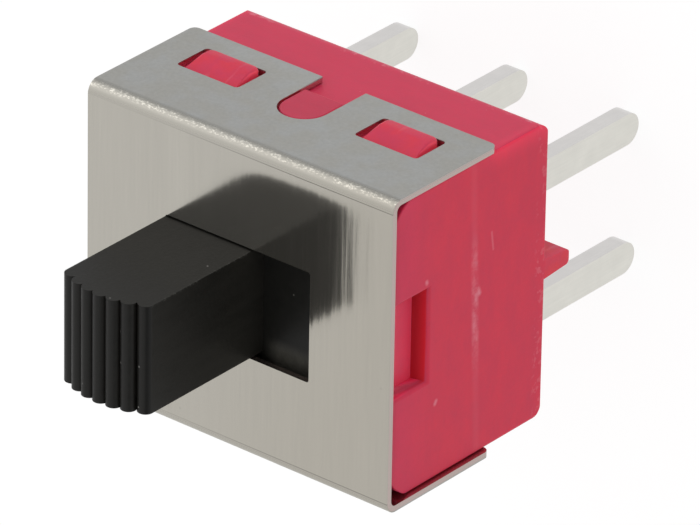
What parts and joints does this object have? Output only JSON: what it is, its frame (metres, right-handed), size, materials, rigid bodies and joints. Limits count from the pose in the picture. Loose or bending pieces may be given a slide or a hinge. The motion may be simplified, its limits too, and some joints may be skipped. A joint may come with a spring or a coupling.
{
  "type": "slide switch",
  "caption": "Miniature double-pole slide switch for a circuit board: moulded case, folded steel cover, ribbed sliding lever and flat solder pins.",
  "frame": {"origin": "centre of the flat foot of the rib under the case, which stands on the circuit board", "axes": "+X along the lever's travel, from the drawn end of the slot to the other; +Y across the slide, towards pole a; +Z out of the front plate along the lever, so the pins point to -Z"},
  "size_m": [0.0128, 0.0116, 0.0201],
  "materials": {
    "case_plastic": "red moulded thermoset, satin",
    "cover_steel": "tinned sheet steel, fine vertical grain",
    "lever_plastic": "black nylon, satin",
    "terminal_metal": "silver-plated copper alloy",
    "contact_silver": "bright coin silver",
    "rocker_metal": "silver-plated copper alloy strip",
    "plunger_plastic": "natural acetal",
    "spring_steel": "bright spring wire"
  },
  "bodies": {
    "housing": {"case": "case_plastic", "cover": "cover_steel", "terminal_a1": "terminal_metal", "terminal_a2": "terminal_metal", "terminal_a3": "terminal_metal", "terminal_b1": "terminal_metal", "terminal_b2": "terminal_metal", "terminal_b3": "terminal_metal", "contact_a1": "contact_silver", "contact_a3": "contact_silver", "contact_b1": "contact_silver", "contact_b3": "contact_silver"},
    "slider": {"slider": "lever_plastic", "spring_a": "spring_steel", "spring_b": "spring_steel"},
    "rocker_a": {"rocker_a": "rocker_metal"},
    "rocker_b": {"rocker_b": "rocker_metal"},
    "plunger_a": {"plunger_a": "plunger_plastic"},
    "plunger_b": {"plunger_b": "plunger_plastic"}
  },
  "joints": [
    {"name": "lever_slide", "type": "slide", "parent": "housing", "child": "slider", "axis": [1, 0, 0], "range_m": [0, 0.0024]},
    {"name": "rocker_a_tip", "type": "hinge", "parent": "housing", "child": "rocker_a", "pos_m": [0, 0.00242, 0.00432], "axis": [0, 1, 0], "range_deg": [0, 12.29]},
    {"name": "plunger_a_press", "type": "slide", "parent": "slider", "child": "plunger_a", "axis": [0, 0, 1], "range_m": [0, 0.00035], "stiffness_N_per_m": 300, "deforming": ["spring_a"]},
    {"name": "rocker_b_tip", "type": "hinge", "parent": "housing", "child": "rocker_b", "pos_m": [0, -0.00242, 0.00432], "axis": [0, 1, 0], "range_deg": [0, 12.29]},
    {"name": "plunger_b_press", "type": "slide", "parent": "slider", "child": "plunger_b", "axis": [0, 0, 1], "range_m": [0, 0.00035], "stiffness_N_per_m": 300, "deforming": ["spring_b"]}
  ],
  "couplings": [
    {"joint": "rocker_a_tip", "follows": "lever_slide", "rad_per_m": 89.335},
    {"joint": "rocker_b_tip", "follows": "lever_slide", "rad_per_m": 89.335}
  ]
}
